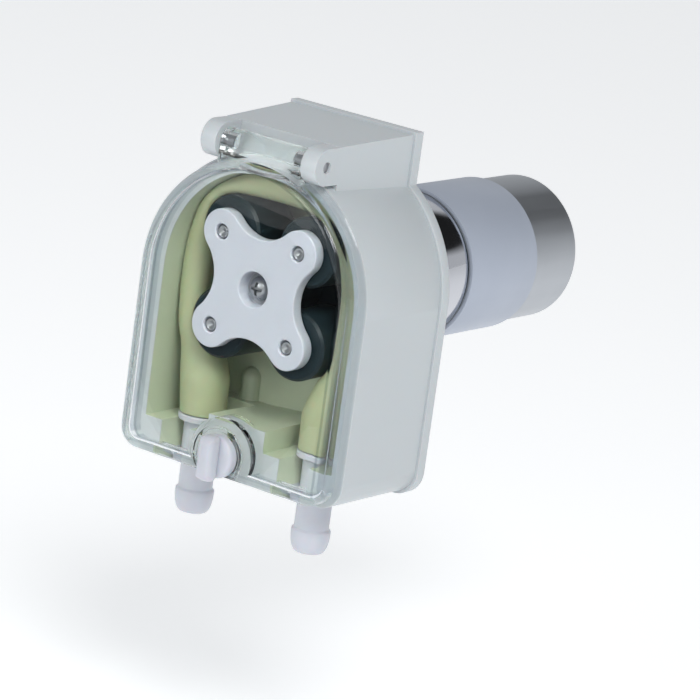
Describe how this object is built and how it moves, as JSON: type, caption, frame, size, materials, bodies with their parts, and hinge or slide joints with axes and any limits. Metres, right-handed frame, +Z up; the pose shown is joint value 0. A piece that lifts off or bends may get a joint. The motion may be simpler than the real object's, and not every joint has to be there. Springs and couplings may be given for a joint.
{
  "type": "peristaltic pump",
  "caption": "Panel-mounted peristaltic pump head with a hinged clear cover, roller rotor and squeezed tube, on a planetary gear motor.",
  "frame": {"origin": "where the drive axis meets the rear mounting face of the back plate", "axes": "+Z up, +Y along the drive axis towards the motor, the clear cover faces -Y"},
  "size_m": [0.0624, 0.1219, 0.0957],
  "materials": {
    "casing_plastic": "smooth moulding, slightly glossy",
    "clear_plastic": "clear, polished",
    "white_nylon": "satin, slightly translucent",
    "rotor_plastic": "satin moulding",
    "black_plastic": "satin",
    "tube_rubber": "soft, matte, slightly translucent",
    "steel": "turned",
    "bright_metal": "polished plating",
    "plated_steel": "dull plating",
    "satin_metal": "satin",
    "brass": "machined",
    "bronze": "sintered",
    "copper": "enamelled wire",
    "gear_plastic": "moulded",
    "magnet": "sintered"
  },
  "bodies": {
    "casing": {"casing": "casing_plastic", "back_plate": "casing_plastic", "back_plate_screws": "steel", "panel_inserts": "brass", "hinge_pins": "steel", "pump_tube": "tube_rubber", "left_fitting": "white_nylon", "right_fitting": "white_nylon", "gearbox_screws": "steel", "gearbox_faceplate": "steel", "output_bearing": "bronze", "gearbox_housing": "bright_metal", "motor_adapter": "black_plastic", "motor_can": "plated_steel", "flux_ring": "satin_metal", "motor_end_cap": "black_plastic", "stator_magnets": "magnet", "brushes": "magnet", "motor_terminals": "brass", "motor_bushes": "bronze"},
    "cover": {"front_cover": "clear_plastic"},
    "latch": {"latch_knob": "white_nylon", "latch_cross_pin": "steel", "latch_clip": "steel"},
    "rotor": {"rotor_front_plate": "rotor_plastic", "rotor_back_plate": "black_plastic", "roller_pin_1": "steel", "roller_pin_2": "steel", "roller_pin_3": "steel", "roller_pin_4": "steel", "rotor_screw": "steel", "rotor_washer": "steel", "output_carrier": "steel"},
    "first_stage": {"first_stage_carrier": "steel"},
    "armature": {"sun_gear": "brass", "armature_shaft": "steel", "armature_core": "steel", "armature_windings": "copper", "commutator": "copper"},
    "roller_1": {"roller_1": "black_plastic"},
    "roller_2": {"roller_2": "black_plastic"},
    "roller_3": {"roller_3": "black_plastic"},
    "roller_4": {"roller_4": "black_plastic"},
    "planet_1": {"planet_gear_1": "gear_plastic"},
    "planet_2": {"planet_gear_2": "gear_plastic"},
    "planet_3": {"planet_gear_3": "gear_plastic"},
    "planet_4": {"planet_gear_4": "gear_plastic"},
    "planet_5": {"planet_gear_5": "gear_plastic"},
    "planet_6": {"planet_gear_6": "gear_plastic"}
  },
  "joints": [
    {"name": "cover_hinge", "type": "hinge", "parent": "casing", "child": "cover", "pos_m": [0, -0.0325, 0.0316], "axis": [-1, 0, 0], "range_deg": [0, 150]},
    {"name": "latch_turn", "type": "hinge", "parent": "cover", "child": "latch", "pos_m": [0, -0.03, -0.038], "axis": [0, 1, 0], "range_deg": [0, 90]},
    {"name": "rotor_spin", "type": "hinge", "parent": "casing", "child": "rotor", "pos_m": [0, 0, 0], "axis": [0, 1, 0], "continuous": true, "deforming": ["pump_tube"]},
    {"name": "first_stage_spin", "type": "hinge", "parent": "casing", "child": "first_stage", "pos_m": [0, 0, 0], "axis": [0, 1, 0], "continuous": true},
    {"name": "armature_spin", "type": "hinge", "parent": "casing", "child": "armature", "pos_m": [0, 0, 0], "axis": [0, 1, 0], "continuous": true},
    {"name": "roller_1_spin", "type": "hinge", "parent": "rotor", "child": "roller_1", "pos_m": [0.01075, 0, 0.01075], "axis": [0, 1, 0], "continuous": true},
    {"name": "roller_2_spin", "type": "hinge", "parent": "rotor", "child": "roller_2", "pos_m": [-0.01075, 0, 0.01075], "axis": [0, 1, 0], "continuous": true},
    {"name": "roller_3_spin", "type": "hinge", "parent": "rotor", "child": "roller_3", "pos_m": [-0.01075, 0, -0.01075], "axis": [0, 1, 0], "continuous": true},
    {"name": "roller_4_spin", "type": "hinge", "parent": "rotor", "child": "roller_4", "pos_m": [0.01075, 0, -0.01075], "axis": [0, 1, 0], "continuous": true},
    {"name": "planet_1_spin", "type": "hinge", "parent": "rotor", "child": "planet_1", "pos_m": [0, 0, 0.009], "axis": [0, 1, 0], "continuous": true},
    {"name": "planet_2_spin", "type": "hinge", "parent": "rotor", "child": "planet_2", "pos_m": [-0.00779, 0, -0.0045], "axis": [0, 1, 0], "continuous": true},
    {"name": "planet_3_spin", "type": "hinge", "parent": "rotor", "child": "planet_3", "pos_m": [0.00779, 0, -0.0045], "axis": [0, 1, 0], "continuous": true},
    {"name": "planet_4_spin", "type": "hinge", "parent": "first_stage", "child": "planet_4", "pos_m": [0, 0, 0.009], "axis": [0, 1, 0], "continuous": true},
    {"name": "planet_5_spin", "type": "hinge", "parent": "first_stage", "child": "planet_5", "pos_m": [-0.00779, 0, -0.0045], "axis": [0, 1, 0], "continuous": true},
    {"name": "planet_6_spin", "type": "hinge", "parent": "first_stage", "child": "planet_6", "pos_m": [0.00779, 0, -0.0045], "axis": [0, 1, 0], "continuous": true}
  ],
  "couplings": [
    {"joint": "first_stage_spin", "follows": "rotor_spin", "ratio": 5},
    {"joint": "armature_spin", "follows": "rotor_spin", "ratio": 25},
    {"joint": "roller_1_spin", "follows": "rotor_spin", "ratio": -2.9},
    {"joint": "roller_2_spin", "follows": "rotor_spin", "ratio": -2.9},
    {"joint": "roller_3_spin", "follows": "rotor_spin", "ratio": -2.9},
    {"joint": "roller_4_spin", "follows": "rotor_spin", "ratio": -2.9},
    {"joint": "planet_1_spin", "follows": "rotor_spin", "ratio": -2.6667},
    {"joint": "planet_2_spin", "follows": "rotor_spin", "ratio": -2.6667},
    {"joint": "planet_3_spin", "follows": "rotor_spin", "ratio": -2.6667},
    {"joint": "planet_4_spin", "follows": "rotor_spin", "ratio": -13.333},
    {"joint": "planet_5_spin", "follows": "rotor_spin", "ratio": -13.333},
    {"joint": "planet_6_spin", "follows": "rotor_spin", "ratio": -13.333}
  ]
}
